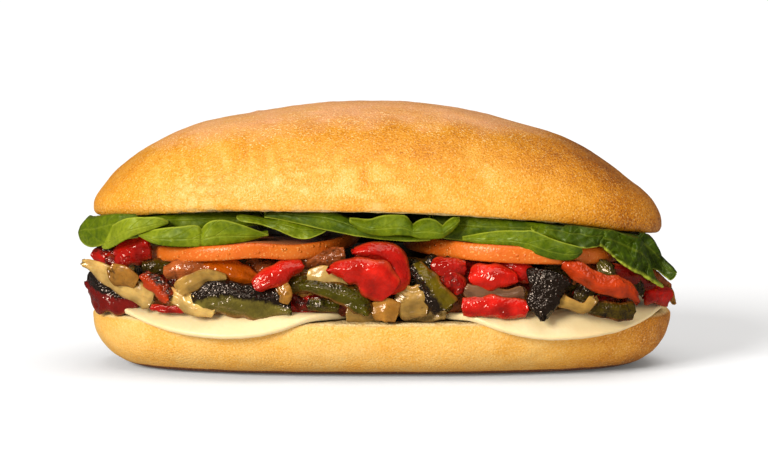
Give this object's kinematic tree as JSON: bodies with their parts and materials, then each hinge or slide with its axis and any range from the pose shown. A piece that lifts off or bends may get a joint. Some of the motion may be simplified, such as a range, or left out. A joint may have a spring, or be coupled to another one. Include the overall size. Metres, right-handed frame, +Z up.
{
  "type": "submarine sandwich",
  "caption": "Long split roll filled with cheese slices, roasted vegetable strips, tomato slices and spinach leaves.",
  "frame": {"origin": "middle of the flat underside of the lower half of the roll", "axes": "+X along the roll, +Z up, -Y towards the open front where the filling shows"},
  "size_m": [0.1552, 0.0811, 0.0708],
  "materials": {
    "crust": "satin",
    "cheese": "satin",
    "tomato": "wet",
    "spinach": "satin",
    "vegetables": "oily"
  },
  "bodies": {
    "root": {"bun_heel": "crust", "bun_crown": "crust", "cheese_left": "cheese", "cheese_right": "cheese", "tomato_left": "tomato", "tomato_right": "tomato", "spinach_01": "spinach", "spinach_02": "spinach", "spinach_03": "spinach", "spinach_04": "spinach", "spinach_05": "spinach", "spinach_06": "spinach", "spinach_07": "spinach", "spinach_08": "spinach", "spinach_09": "spinach", "spinach_10": "spinach", "spinach_11": "spinach", "spinach_12": "spinach", "spinach_13": "spinach", "spinach_14": "spinach", "spinach_15": "spinach", "spinach_16": "spinach", "roasted_vegetables": "vegetables"}
  },
  "joints": []
}
